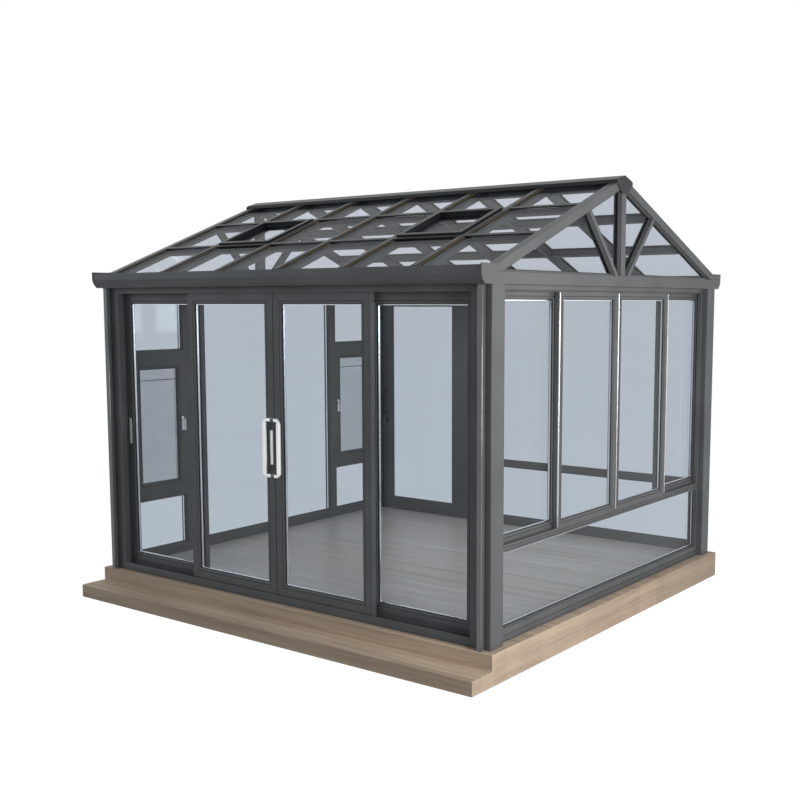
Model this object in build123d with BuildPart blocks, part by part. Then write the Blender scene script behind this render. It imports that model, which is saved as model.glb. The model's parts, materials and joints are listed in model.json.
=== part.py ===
from build123d import *
import os
from math import atan, cos, degrees, radians, sin, tan

# Gable-roofed glass sunroom on a low timber deck with one front step.
# X runs along the sliding-door front, Y from the front to the back, Z up.
# The origin is the middle of the deck's underside. All sizes are in millimetres.

# Deck, step and floor
deck_length = 3880
deck_width = 3530
deck_height = 205
step_depth = 220
step_height = 100
deck_edge_round = 4
floor_thickness = 10

# Frame
frame_inset = 50
side_inset = 55
wall_height = 2300
post_width = 90
post_depth = 145
post_round = 6
tie_height = 77
eave_height = 125
eave_beam_width = 80

# Roof
roof_pitch = 21.7
eave_line_setback = 55
verge_width = 66
verge_depth = 62
ridge_beam_width = 60
ridge_beam_depth = 90
ridge_cap_reach = 112
ridge_cap_crown = 16
ridge_cap_edge = 26
ridge_end_thickness = 6
ridge_end_ear = 10
ridge_end_brow = 104
ridge_end_round = 6
ridge_end_waist = 62
ridge_end_waist_drop = 98
ridge_end_drop = 115
rafter_width = 44
rafter_depth = 58
purlin_width = 40
purlin_depth = 46
bay_count = 6
row_count = 3
cap_width = 50
cap_height = 11
roof_glass_thickness = 12
roof_glass_bearing = 14
king_width = 70
strut_width = 36
strut_foot = 90
strut_head = 500
gable_glass_thickness = 10

# Roof hatches, set between the glazing caps: the bay and row of each
hatch_places = ((1, 1), (4, 1))
hatch_frame = 40
hatch_rise = 14
hatch_drop = 38
hatch_glass_lift = 5

# Gutters and downpipes
gutter_projection = 110
gutter_fascia = 62
gutter_foot = 67
gutter_curve_reach = 0.62
gutter_curve_height = 0.42
gutter_wall = 8
gutter_cap = 8
gutter_cap_swell = 6
gutter_drop = 10
fascia_groove_drop = 75
fascia_groove_height = 4
foot_groove_drop = 106
foot_groove_height = 8
foot_groove_reach = 81
gutter_groove_depth = 4
pipe_size = 42
pipe_round = 9
pipe_gap = 6
pipe_offset = 61

# Sliding door front
jamb_width = 56
meeting_gap = 6
head_gap = 8
track_lip = 14
frame_depth = 130
leaf_setback = 15
leaf_depth = 42
track_gap = 14
front_lip = 8
middle_lip = 4
sill_base = 35
sill_height = 61
rail_width = 6
rail_height = 7
head_height = 45
head_plate = 22
leaf_stile = 75
leaf_rail = 86
leaf_overlap = 80
leaf_clearance = 6
leaf_bottom_gap = 5
roller_radius = 14
roller_width = 8
roller_inset = 120
seat_gap = 0.3
leaf_glass = 24
glass_bite = 10

# Door pulls
pull_height = 430
pull_centre = 1145
pull_root = 30
pull_bow = 44
pull_bend = 30
pull_width = 24
pull_thickness = 20
pull_chamfer = 5
pull_standoff = 32
lock_plate_height = 250
lock_plate_width = 28
flush_pull_height = 210
flush_pull_width = 26
flush_pull_thickness = 4

# Side and back walls
right_setback = 36
right_depth = 76
right_jamb = 50
rail_groove_depth = 8
rail_groove_height = 5
base_groove_lines = (6, 44)
sill_groove_lines = (13, 31)
head_groove_lines = (5,)
wall_depth = 70
base_rail = 88
sill_rail_bottom = 590
sill_rail_height = 50
wall_head = 42
side_jamb = 50
wall_glass = 20
sash_depth = 34
sash_gap = 6
sash_meeting_gap = 1
outer_sash_width = 850
sash_stile = 58
sash_rail = 44
sash_face_setback = 2

# Left wall
left_depth = 80
casement_bay = 540
mullion_width = 80
top_transom = 1700
top_transom_height = 78
low_transom = 517
low_transom_height = 68
casement_frame = 68
casement_depth = 60
lever_plate = 120
lever_plate_width = 26
lever_plate_thickness = 8
lever_neck = 20
lever_neck_size = 13
lever_grip = 10
lever_length = 95
lever_rise = 30

# Back door
back_door_width = 1020
back_door_stile = 120
back_door_rail = 97
back_door_depth = 54
threshold_height = 26
back_door_gap = 6
back_door_setback = 6
back_mullion = 60
back_pull_height = 235
back_pull_width = 20
back_pull_thickness = 14
back_pull_chamfer = 4
back_pull_bend = 20
back_pull_reach = 48
hinge_radius = 7
hinge_height = 90
hinge_plate = 34
hinge_plate_thickness = 4
hinge_offset = 6
hinge_centres = (220, 1100, 1980)

# Worked-out planes and lines
frame_x = deck_length / 2 - frame_inset
frame_y = deck_width / 2 - side_inset
deck_top = deck_height
wall_top = deck_top + wall_height
eave_top = wall_top + eave_height
pitch_rise = tan(radians(roof_pitch))
half_span = frame_y - eave_line_setback
roof_apex = eave_top + half_span * pitch_rise
post_x = frame_x - post_width
post_y = frame_y - post_depth


def slope_plane(side):
    """Plane on the roof's outer face, with x along the ridge and y up the slope from the eave line."""
    along = (-side, 0, 0)
    outward = (0, side * sin(radians(roof_pitch)), cos(radians(roof_pitch)))
    return Plane(origin=(0, side * half_span, eave_top), x_dir=along, z_dir=outward)


slope_length = half_span / cos(radians(roof_pitch))


def save(part, name):
    part.label = name
    export_step(part, f"parts/{name}.step")


def box_part(x_range, y_range, z_range):
    """One rectangular bar between two corners."""
    with BuildPart() as bar:
        with Locations((sum(x_range) / 2, sum(y_range) / 2, sum(z_range) / 2)):
            Box(x_range[1] - x_range[0], y_range[1] - y_range[0], z_range[1] - z_range[0])
    return bar.part


def glazed_frame(x_range, z_range, y_range, stile, rail, glass, bite):
    """A glazed frame in the XZ plane: the grooved ring and the pane that sits in its groove."""
    x_mid = sum(x_range) / 2
    y_mid = sum(y_range) / 2
    z_mid = sum(z_range) / 2
    width = x_range[1] - x_range[0]
    height = z_range[1] - z_range[0]
    pane_width = width - 2 * stile + 2 * bite
    pane_height = height - 2 * rail + 2 * bite
    with BuildPart() as pane:
        with Locations((x_mid, y_mid, z_mid)):
            Box(pane_width, glass, pane_height)
    with BuildPart() as ring:
        with Locations((x_mid, y_mid, z_mid)):
            Box(width, y_range[1] - y_range[0], height)
            Box(width - 2 * stile, y_range[1] - y_range[0], height - 2 * rail, mode=Mode.SUBTRACT)
        add(pane.part, mode=Mode.SUBTRACT)
    return ring.part, pane.part


def turned(shape, side):
    """The same frame turned about Z from the front wall's direction to a side wall's."""
    return shape.rotate(Axis.Z, 90 * side)


def gather(shapes):
    """Several solids that do not touch, kept as one piece."""
    return Compound(children=list(shapes))


os.makedirs("parts", exist_ok=True)

# The deck, its front step and the boarded floor inside the frame
with BuildPart() as deck:
    with BuildSketch():
        Rectangle(deck_length, deck_width)
    extrude(amount=deck_height)
    chamfer(deck.faces().sort_by(Axis.Z)[-1].edges(), deck_edge_round)
save(deck.part, "deck")

with BuildPart() as front_step:
    with BuildSketch():
        with Locations((0, -(deck_width + step_depth) / 2)):
            Rectangle(deck_length, step_depth)
    extrude(amount=step_height)
    step_top = front_step.faces().sort_by(Axis.Z)[-1]
    chamfer(step_top.edges().filter_by(Axis.X).sort_by(Axis.Y)[0], deck_edge_round)
save(front_step.part, "front_step")

floor_front = -frame_y + frame_depth
left_inner = -frame_x + sash_face_setback + left_depth
right_inner = frame_x - right_setback - right_depth
back_inner = frame_y - sash_face_setback - wall_depth
with BuildPart() as interior_floor:
    with BuildSketch(Plane.XY.offset(deck_top)):
        with Locations(((left_inner + right_inner) / 2, (floor_front + back_inner) / 2)):
            Rectangle(right_inner - left_inner, back_inner - floor_front)
        with GridLocations(2 * frame_x - post_width, 2 * frame_y - post_depth, 2, 2):
            Rectangle(post_width, post_depth, mode=Mode.SUBTRACT)
    extrude(amount=floor_thickness)
save(interior_floor.part, "interior_floor")

# The four corner posts
with BuildPart() as corner_posts:
    with BuildSketch(Plane.XY.offset(deck_top)):
        with GridLocations(2 * frame_x - post_width, 2 * frame_y - post_depth, 2, 2):
            RectangleRounded(post_width, post_depth, post_round)
    extrude(amount=wall_height)
save(corner_posts.part, "corner_posts")

# Roof section, drawn in the gable plane with Y across and Z up
glass_top = -cap_height
glass_under = glass_top - roof_glass_thickness
slant = 1 / cos(radians(roof_pitch))
tie_top = wall_top + tie_height


def roof_height(y, below=0):
    """Height of the plane that lies below the roof's outer face, at a distance y from the middle."""
    return roof_apex - abs(y) * pitch_rise - below * slant


def reach_at(z, below=0):
    """Distance from the middle at which that plane comes down to the height z."""
    return (roof_apex - below * slant - z) / pitch_rise


beam_half = ridge_beam_width / 2
beam_foot = roof_apex - ridge_beam_depth
verge_inner = frame_x - verge_width

with BuildPart() as ridge_beam:
    with BuildSketch(Plane.YZ.offset(-frame_x)):
        with BuildLine():
            Polyline(
                (-beam_half, beam_foot),
                (beam_half, beam_foot),
                (beam_half, roof_height(beam_half)),
                (0, roof_apex),
                (-beam_half, roof_height(beam_half)),
                close=True,
            )
        make_face()
    extrude(amount=2 * frame_x)
save(ridge_beam.part, "ridge_beam")

cap_corner = roof_height(ridge_cap_reach)
with BuildPart() as ridge_cap:
    with BuildSketch(Plane.YZ.offset(-frame_x)):
        with BuildLine():
            Polyline(
                (0, roof_apex),
                (ridge_cap_reach, cap_corner),
                (ridge_cap_reach, cap_corner + ridge_cap_edge),
                (0, roof_apex + ridge_cap_crown),
                (-ridge_cap_reach, cap_corner + ridge_cap_edge),
                (-ridge_cap_reach, cap_corner),
                close=True,
            )
        make_face()
    extrude(amount=2 * frame_x)
    with BuildSketch(Plane.YZ.offset(-frame_x - ridge_end_thickness)) as ridge_end:
        with BuildLine():
            Polyline(
                (0, roof_apex + ridge_cap_crown),
                (ridge_end_brow, cap_corner + ridge_cap_edge),
                (ridge_cap_reach + ridge_end_ear, cap_corner + ridge_cap_edge - ridge_end_ear),
                (ridge_cap_reach + ridge_end_ear, cap_corner),
                (ridge_end_waist, roof_apex - ridge_end_waist_drop),
                (king_width / 2, roof_apex - ridge_end_drop),
                (0, roof_apex - ridge_end_drop),
                close=True,
            )
        make_face()
        fillet(ridge_end.vertices().sort_by(Axis.X)[-3:], ridge_end_round)
        mirror(about=Plane.YZ)
    extrude(amount=ridge_end_thickness)
    mirror(about=Plane.YZ)
save(ridge_cap.part, "ridge_cap")

with BuildPart() as tie_beams:
    with Locations((frame_x - verge_width / 2, 0, wall_top + tie_height / 2)):
        Box(verge_width, 2 * frame_y, tie_height)
    mirror(about=Plane.YZ)
save(tie_beams.part, "tie_beams")

with BuildPart() as verge_rafters:
    with BuildSketch(Plane.YZ.offset(verge_inner)):
        with BuildLine():
            Polyline(
                (-frame_y, tie_top),
                (-reach_at(tie_top, verge_depth), tie_top),
                (-beam_half, roof_height(beam_half, verge_depth)),
                (-beam_half, roof_height(beam_half)),
                (-half_span, eave_top),
                (-frame_y, eave_top),
                close=True,
            )
        make_face()
    extrude(amount=verge_width)
    mirror(about=Plane.XZ)
    mirror(about=Plane.YZ)
save(verge_rafters.part, "verge_rafters")

# The gable: king post, two struts and the glass between them
gable_corner = reach_at(tie_top, verge_depth)
gable_shoulder = roof_height(beam_half, verge_depth)
strut_top = roof_height(strut_head, verge_depth)
strut_rise = strut_top - tie_top
strut_run = strut_head - strut_foot
strut_angle = degrees(atan(strut_rise / strut_run))
with BuildSketch() as gable_opening:
    with BuildLine():
        Polyline(
            (-gable_corner, tie_top),
            (gable_corner, tie_top),
            (beam_half, gable_shoulder),
            (beam_half, beam_foot),
            (-beam_half, beam_foot),
            (-beam_half, gable_shoulder),
            close=True,
        )
    make_face()
with BuildSketch() as truss_outline:
    with Locations((0, (tie_top + beam_foot) / 2)):
        Rectangle(king_width, beam_foot - tie_top)
    for side in (-1, 1):
        strut_middle = (side * (strut_foot + strut_head) / 2, (tie_top + strut_top) / 2)
        with Locations(Location(strut_middle, side * strut_angle)):
            Rectangle(2 * strut_rise, strut_width)
    add(gable_opening.sketch, mode=Mode.INTERSECT)

for side, name in ((-1, "gable_truss_left"), (1, "gable_truss_right")):
    gable_face = Plane.YZ.offset(side * frame_x)
    with BuildPart() as gable_truss:
        with BuildSketch(gable_face):
            add(truss_outline.sketch)
        extrude(amount=-side * verge_width)
    save(gable_truss.part, name)

with BuildPart() as gable_glass:
    for side in (-1, 1):
        glass_plane = side * (verge_inner + (verge_width + gable_glass_thickness) / 2)
        with BuildSketch(Plane.YZ.offset(glass_plane)):
            add(gable_opening.sketch)
            add(truss_outline.sketch, mode=Mode.SUBTRACT)
        extrude(amount=-side * gable_glass_thickness)
save(gable_glass.part, "gable_glass")

# Eave beams, cut on top to the slope of the glass that lies on them
eave_inner = frame_y - eave_beam_width
with BuildPart() as eave_beams:
    with BuildSketch(Plane.YZ.offset(-verge_inner)):
        with BuildLine():
            Polyline(
                (-frame_y, wall_top),
                (-eave_inner, wall_top),
                (-eave_inner, roof_height(eave_inner, -glass_under)),
                (-half_span, roof_height(half_span, -glass_under)),
                (-frame_y, roof_height(half_span, -glass_under)),
                close=True,
            )
        make_face()
    extrude(amount=2 * verge_inner)
    mirror(about=Plane.XZ)
save(eave_beams.part, "eave_beams")

# Rafters, purlins, panes and glazing caps of one slope, set out in bays and rows
bay = 2 * (frame_x - verge_width / 2) / bay_count
rafter_lines = [(i - bay_count / 2) * bay for i in range(1, bay_count)]
row = slope_length / row_count
purlin_lines = [row * k for k in range(1, row_count)]
ridge_seat = slope_length - (beam_half - glass_under * sin(radians(roof_pitch))) * slant
pane_gap = rafter_width - 2 * roof_glass_bearing


def bay_range(i, inset):
    """X range of a bay, inset from the rafter lines, or out to the verge rafter in an end bay."""
    left = -verge_inner if i == 0 else rafter_lines[i - 1] + inset
    right = verge_inner if i == bay_count - 1 else rafter_lines[i] - inset
    return left, right


def row_range(k, inset):
    """Range up the slope of a row, inset from the purlin lines."""
    low = 0 if k == 0 else purlin_lines[k - 1] + inset
    high = ridge_seat if k == row_count - 1 else purlin_lines[k] - inset
    return low, high


def slope_box(side, x_range, v_range, w_range):
    """A bar on a slope, from its range along the ridge, up the slope and out of it."""
    plane = slope_plane(side)
    with BuildPart() as bar:
        with BuildSketch(plane.offset(w_range[0])):
            with Locations((-side * sum(x_range) / 2, sum(v_range) / 2)):
                Rectangle(x_range[1] - x_range[0], v_range[1] - v_range[0])
        extrude(amount=w_range[1] - w_range[0])
    return bar.part


for side, end in ((-1, "front"), (1, "back")):
    with BuildPart() as rafters:
        with BuildSketch(Plane.YZ):
            with BuildLine():
                Polyline(
                    (side * eave_inner, roof_height(eave_inner, -glass_under + rafter_depth)),
                    (side * eave_inner, roof_height(eave_inner, -glass_under)),
                    (side * beam_half, roof_height(beam_half, -glass_under)),
                    (side * beam_half, roof_height(beam_half, -glass_under + rafter_depth)),
                    close=True,
                )
            make_face()
        extrude(amount=rafter_width / 2, both=True)
    save(gather(rafters.part.moved(Location((x, 0, 0))) for x in rafter_lines), f"rafters_{end}")

    purlins = [
        slope_box(side, bay_range(i, rafter_width / 2), (v - purlin_width / 2, v + purlin_width / 2),
                  (glass_under - purlin_depth, glass_under))
        for i in range(bay_count)
        for v in purlin_lines
    ]
    save(gather(purlins), f"purlins_{end}")

    left_out = hatch_places if side < 0 else ()
    glass_range = (glass_under, glass_top)
    panes = [
        slope_box(side, bay_range(i, pane_gap / 2), row_range(k, pane_gap / 2), glass_range)
        for i in range(bay_count)
        for k in range(row_count)
        if (i, k) not in left_out
    ]
    save(gather(panes), f"roof_glass_{end}")

    caps = [
        slope_box(side, (x - cap_width / 2, x + cap_width / 2), (0, ridge_seat), (glass_top, 0))
        for x in rafter_lines
    ]
    for i in range(bay_count):
        for v in purlin_lines:
            cap_range = (v - purlin_width / 2, v + purlin_width / 2)
            caps.append(slope_box(side, bay_range(i, cap_width / 2), cap_range, (glass_top, 0)))
    save(gather(caps), f"glazing_caps_{end}")

# Two roof hatches in the front slope: a deep frame between the glazing caps, with the pane set low in it
hatch_frames = []
hatch_panes = []
pane_foot = hatch_glass_lift - hatch_drop
for i, k in hatch_places:
    x_low, x_high = bay_range(i, cap_width / 2)
    v_low, v_high = row_range(k, purlin_width / 2)
    with BuildPart() as hatch:
        with BuildSketch(slope_plane(-1).offset(-hatch_drop)):
            with Locations(((x_low + x_high) / 2, (v_low + v_high) / 2)):
                Rectangle(x_high - x_low, v_high - v_low)
                Rectangle(
                    x_high - x_low - 2 * hatch_frame, v_high - v_low - 2 * hatch_frame, mode=Mode.SUBTRACT
                )
        extrude(amount=hatch_drop + hatch_rise)
    hatch_panes.append(
        slope_box(
            -1,
            (x_low + hatch_frame, x_high - hatch_frame),
            (v_low + hatch_frame, v_high - hatch_frame),
            (pane_foot, pane_foot + roof_glass_thickness),
        )
    )
    hatch_frames.append(hatch.part)
save(gather(hatch_frames), "hatch_frames")
save(gather(hatch_panes), "hatch_glass")

# Moulded gutters: a grooved fascia over a curved foot, open on top, with end plates in the gable's plane
gutter_face = frame_y + gutter_projection
foot_face = frame_y + gutter_foot
gutter_top = eave_top - gutter_drop
fascia_foot = eave_top - gutter_fascia


def gutter_outline(side, top, swell):
    """Section of a gutter up to the given height, with its face and foot swollen outwards."""
    face = side * (gutter_face + swell)
    foot = side * (foot_face + swell)
    curve_y = foot + gutter_curve_reach * (face - foot)
    curve_z = wall_top + gutter_curve_height * (fascia_foot - wall_top)
    with BuildSketch() as outline:
        with BuildLine():
            Polyline(
                (foot, wall_top),
                (side * frame_y, wall_top),
                (side * frame_y, top),
                (face, top),
                (face, fascia_foot),
            )
            ThreePointArc((face, fascia_foot), (curve_y, curve_z), (foot, wall_top))
        make_face()
    return outline.sketch


for side, end in ((-1, "front"), (1, "back")):
    section = gutter_outline(side, gutter_top, 0)
    with BuildPart() as gutter:
        with BuildSketch(Plane.YZ.offset(-frame_x)):
            add(section)
        extrude(amount=2 * frame_x)
        with BuildSketch(Plane.YZ.offset(-frame_x + gutter_cap)):
            offset(section.faces()[0], amount=-gutter_wall)
            with Locations((side * (frame_y + gutter_projection / 2), gutter_top)):
                Rectangle(gutter_projection - 2 * gutter_wall, 3 * gutter_wall)
        extrude(amount=2 * (frame_x - gutter_cap), mode=Mode.SUBTRACT)
        for drop, height, reach in (
            (fascia_groove_drop, fascia_groove_height, gutter_projection - gutter_groove_depth),
            (foot_groove_drop, foot_groove_height, foot_groove_reach),
        ):
            groove_y = side * (frame_y + reach + gutter_projection / 2)
            with Locations((0, groove_y, eave_top - drop - height / 2)):
                Box(2 * (frame_x - gutter_cap), gutter_projection, height, mode=Mode.SUBTRACT)
        for start in (-frame_x, frame_x - gutter_cap):
            with BuildSketch(Plane.YZ.offset(start)):
                add(gutter_outline(side, eave_top, gutter_cap_swell))
            extrude(amount=gutter_cap)
    save(gutter.part, f"gutter_{end}")

# Downpipes beside the front posts, from the gutters' feet to the deck
with BuildPart() as downpipes:
    with BuildSketch(Plane.XY.offset(deck_top)):
        with GridLocations(2 * (frame_x - pipe_offset), 0, 2, 1):
            with Locations((0, -frame_y - pipe_gap - pipe_size / 2)):
                RectangleRounded(pipe_size, pipe_size, pipe_round)
    extrude(amount=wall_height)
save(downpipes.part, "downpipes")

# Sliding door: channel section of the head, sill and jambs, with a lip either side of each track
front_face = -frame_y
outer_track = front_face + leaf_setback
inner_track = outer_track + leaf_depth + track_gap
track_middle = outer_track + leaf_depth + track_gap / 2
back_lip = inner_track + leaf_depth + leaf_clearance
frame_back = front_face + frame_depth
lips = (
    (front_face, front_face + front_lip),
    (track_middle - middle_lip / 2, track_middle + middle_lip / 2),
    (back_lip, frame_back),
)
jamb_base = post_x - jamb_width
door_half = jamb_base - track_lip
sill_top = deck_top + sill_height
track_floor = deck_top + sill_base
rail_top = track_floor + rail_height
head_foot = wall_top - head_height
head_ceiling = wall_top - head_plate


def lipped_bar(base, x_range, lip_range, ribs=()):
    """A door frame bar: its base, and a lip either side of each track."""
    with BuildPart() as bar:
        add(base)
        for lip in lips:
            add(box_part(x_range, lip, lip_range))
        for rib in ribs:
            add(rib)
    return bar.part


track_lines = [outer_track + leaf_depth / 2, inner_track + leaf_depth / 2]
span = (-door_half, door_half)
depth_range = (front_face, frame_back)
sill_rails = [
    box_part(span, (y - rail_width / 2, y + rail_width / 2), (track_floor, rail_top))
    for y in track_lines
]
sill_plate = box_part(span, depth_range, (deck_top, track_floor))
save(lipped_bar(sill_plate, span, (track_floor, sill_top), sill_rails), "door_sill")

head_plate_bar = box_part(span, depth_range, (head_ceiling, wall_top))
save(lipped_bar(head_plate_bar, span, (head_foot, head_ceiling)), "door_head")

full_height = (deck_top, wall_top)
jamb_plate = box_part((jamb_base, post_x), depth_range, full_height)
jamb_right = lipped_bar(jamb_plate, (door_half, jamb_base), full_height)
jamb_left = mirror(jamb_right, about=Plane.YZ)
save(gather([jamb_left, jamb_right]), "door_jambs")

# Four leaves: the outer two on the inner track, the centre two on the outer track
leaf_reach = jamb_base - leaf_clearance
leaf_width = (2 * leaf_reach - meeting_gap + 2 * leaf_overlap) / 4
leaf_foot = rail_top + leaf_bottom_gap
leaf_top = head_ceiling - head_gap
leaf_starts = (
    -leaf_reach,
    -meeting_gap / 2 - leaf_width,
    meeting_gap / 2,
    leaf_reach - leaf_width,
)
leaf_tracks = (inner_track, outer_track, outer_track, inner_track)

for number, (start, track) in enumerate(zip(leaf_starts, leaf_tracks), 1):
    ring, pane = glazed_frame(
        (start, start + leaf_width), (leaf_foot, leaf_top), (track, track + leaf_depth),
        leaf_stile, leaf_rail, leaf_glass, glass_bite,
    )
    with BuildPart() as leaf:
        add(ring)
        for x in (start + roller_inset, start + leaf_width - roller_inset):
            roller_place = Plane(
                origin=(x, track + leaf_depth / 2, rail_top + seat_gap + roller_radius), z_dir=(0, 1, 0)
            )
            with Locations(roller_place.location):
                Cylinder(roller_radius, roller_width)
    save(leaf.part, f"leaf_{number}_frame")
    save(pane, f"leaf_{number}_glass")

# Bow-shaped pulls on the two meeting stiles, with a lock plate on the left one
pull_z = deck_top + pull_centre
pull_face = outer_track


def bow_pull(side):
    """A flat bow bent away from the meeting line, on a foot at each end."""
    root_x = side * pull_root
    crown_x = root_x + side * pull_bow
    half = (pull_height - pull_width) / 2
    path_y = pull_face - pull_standoff
    with BuildPart() as pull:
        with BuildLine() as bow:
            FilletPolyline(
                (root_x, path_y, pull_z - half),
                (crown_x, path_y, pull_z - half),
                (crown_x, path_y, pull_z + half),
                (root_x, path_y, pull_z + half),
                radius=pull_bend,
            )
        with BuildSketch(Plane(origin=bow.line @ 0, x_dir=(0, 1, 0), z_dir=bow.line % 0)) as section:
            Rectangle(pull_thickness, pull_width)
            chamfer(section.vertices(), pull_chamfer)
        sweep(path=bow.line)
        for foot_z in (pull_z - half, pull_z + half):
            with Locations((root_x, path_y + pull_standoff / 2, foot_z)):
                Box(pull_width, pull_standoff, pull_width)
    return pull.part


with BuildPart() as leaf_2_pull:
    add(bow_pull(-1))
lock_x = -pull_root
lock_plate = box_part(
    (lock_x - lock_plate_width / 2, lock_x + lock_plate_width / 2),
    (pull_face - flush_pull_thickness, pull_face),
    (pull_z - lock_plate_height / 2, pull_z + lock_plate_height / 2),
)
save(gather([leaf_2_pull.part, lock_plate]), "leaf_2_pull")
save(bow_pull(1), "leaf_3_pull")

flush_x = leaf_starts[0] + leaf_stile / 2
leaf_1_pull = box_part(
    (flush_x - flush_pull_width / 2, flush_x + flush_pull_width / 2),
    (inner_track - flush_pull_thickness, inner_track),
    (pull_z - flush_pull_height / 2, pull_z + flush_pull_height / 2),
)
save(leaf_1_pull, "leaf_1_pull")

# Right wall, set back from the posts: grooved rails, with sliding sashes over a long low light
wall_span = (-post_y, post_y)
base_top = deck_top + base_rail
sill_foot = deck_top + sill_rail_bottom
sill_rail_top = sill_foot + sill_rail_height
head_under = wall_top - wall_head
right_face = frame_x - right_setback
right_back = right_face - right_depth
right_range = (right_back, right_face)


def grooved_rail(z_range, groove_lines):
    """A rail of the right wall, with grooves along its outer face at heights above its foot."""
    with BuildPart() as rail:
        add(box_part(right_range, wall_span, z_range))
        for line in groove_lines:
            with Locations((right_face, 0, z_range[0] + line + rail_groove_height / 2)):
                Box(2 * rail_groove_depth, 2 * post_y, rail_groove_height, mode=Mode.SUBTRACT)
    return rail.part


save(
    gather([
        grooved_rail((deck_top, base_top), base_groove_lines),
        grooved_rail((sill_foot, sill_rail_top), sill_groove_lines),
        grooved_rail((head_under, wall_top), head_groove_lines),
    ]),
    "right_wall_rails",
)

inner_sash_width = post_y - outer_sash_width - sash_meeting_gap / 2 + sash_stile
outer_sash = (right_face - sash_depth, right_face)
inner_sash = (outer_sash[0] - sash_gap - sash_depth, outer_sash[0] - sash_gap)
outer_starts = (-sash_meeting_gap / 2 - outer_sash_width, sash_meeting_gap / 2)
inner_starts = (-post_y, post_y - inner_sash_width)
sash_sets = {
    "outer": (outer_sash, outer_starts, outer_sash_width),
    "inner": (inner_sash, inner_starts, inner_sash_width),
}
sash_panes = []
for name, (depth, starts, width) in sash_sets.items():
    rings = []
    for start in starts:
        ring, pane = glazed_frame(
            (start, start + width), (sill_rail_top, head_under), (-depth[1], -depth[0]),
            sash_stile, sash_rail, wall_glass, glass_bite,
        )
        rings.append(turned(ring, 1))
        sash_panes.append(turned(pane, 1))
    save(gather(rings), f"right_sashes_{name}")

right_uprights = []
for jamb_span in ((-post_y, right_jamb - post_y), (post_y - right_jamb, post_y)):
    right_uprights.append(box_part(right_range, jamb_span, (base_top, sill_foot)))
    right_uprights.append(box_part(outer_sash, jamb_span, (sill_rail_top, head_under)))
save(gather(right_uprights), "right_wall_uprights")

right_middle = (right_face + right_back) / 2
low_light = box_part(
    (right_middle - wall_glass / 2, right_middle + wall_glass / 2),
    (right_jamb - post_y, post_y - right_jamb),
    (base_top, sill_foot),
)
save(gather(sash_panes + [low_light]), "right_wall_glass")

# Left wall: two bays with a casement between two fixed lights, and a full-height light between them
left_face = -frame_x + sash_face_setback
left_back = left_face + left_depth
left_range = (left_face, left_back)
bay_outer = post_y - side_jamb
bay_inner = bay_outer - casement_bay
mullion_inner = bay_inner - mullion_width
transom_foot = deck_top + top_transom
transom_top = transom_foot + top_transom_height
low_foot = deck_top + low_transom
low_top = low_foot + low_transom_height
save(
    gather([
        box_part(left_range, wall_span, (deck_top, base_top)),
        box_part(left_range, wall_span, (head_under, wall_top)),
    ]),
    "left_wall_rails",
)

uprights = []
transoms = []
casements = []
left_panes = []
left_middle = (left_face + left_back) / 2
pane_range = (left_middle - wall_glass / 2, left_middle + wall_glass / 2)
for side in (-1, 1):
    jamb_y = sorted((side * bay_outer, side * post_y))
    mullion_y = sorted((side * mullion_inner, side * bay_inner))
    uprights.append(box_part(left_range, jamb_y, (base_top, head_under)))
    uprights.append(box_part(left_range, mullion_y, (base_top, head_under)))
    bay_y = sorted((side * bay_inner, side * bay_outer))
    transoms.append(box_part(left_range, bay_y, (transom_foot, transom_top)))
    transoms.append(box_part(left_range, bay_y, (low_foot, low_top)))
    ring, pane = glazed_frame(
        bay_y, (low_top, transom_foot), (-left_back, -left_back + casement_depth),
        casement_frame, casement_frame, wall_glass, glass_bite,
    )
    casements.append(turned(ring, 1))
    left_panes.append(turned(pane, 1))
    left_panes.append(box_part(pane_range, bay_y, (transom_top, head_under)))
    left_panes.append(box_part(pane_range, bay_y, (base_top, low_foot)))
left_panes.append(box_part(pane_range, (-mullion_inner, mullion_inner), (base_top, head_under)))
save(gather(uprights), "left_wall_uprights")
save(gather(transoms), "left_wall_transoms")
save(gather(casements), "left_casements")
save(gather(left_panes), "left_wall_glass")

# Small lever on the inner face of each casement, on the stile nearer the middle of the wall
lever_z = deck_top + pull_centre
levers = []
for side in (-1, 1):
    lever_y = side * (bay_inner + casement_frame / 2)
    neck_z = lever_z + lever_rise
    grip_z = neck_z + (lever_neck_size - lever_length) / 2
    neck_back = left_back + lever_plate_thickness
    grip_back = neck_back + lever_neck
    with BuildPart() as lever:
        with Locations((left_back + lever_plate_thickness / 2, lever_y, lever_z)):
            Box(lever_plate_thickness, lever_plate_width, lever_plate)
        with Locations((neck_back + lever_neck / 2, lever_y, neck_z)):
            Box(lever_neck, lever_neck_size, lever_neck_size)
        with Locations((grip_back + lever_grip / 2, lever_y, grip_z)):
            Box(lever_grip, lever_neck_size, lever_length)
    levers.append(lever.part)
save(gather(levers), "casement_levers")

# Back wall: a glazed door beside the left post, then a sill-height rail with glass above and below
back_face = frame_y - sash_face_setback
back_back = back_face - wall_depth
back_range = (back_back, back_face)
door_left = -post_x + side_jamb + back_door_gap
door_right = door_left + back_door_width
mullion_left = door_right + back_door_gap
mullion_right = mullion_left + back_mullion
save(
    gather([
        box_part((mullion_right, post_x), back_range, (deck_top, base_top)),
        box_part((mullion_right, post_x), back_range, (sill_foot, sill_rail_top)),
        box_part((-post_x, post_x), back_range, (head_under, wall_top)),
    ]),
    "back_wall_rails",
)
save(
    gather([
        box_part((-post_x, -post_x + side_jamb), back_range, (deck_top, head_under)),
        box_part((mullion_left, mullion_right), back_range, (deck_top, head_under)),
    ]),
    "back_wall_uprights",
)
threshold_top = deck_top + threshold_height
save(
    box_part((-post_x + side_jamb, mullion_left), back_range, (deck_top, threshold_top)),
    "back_door_threshold",
)
back_middle = (back_face + back_back) / 2
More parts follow.
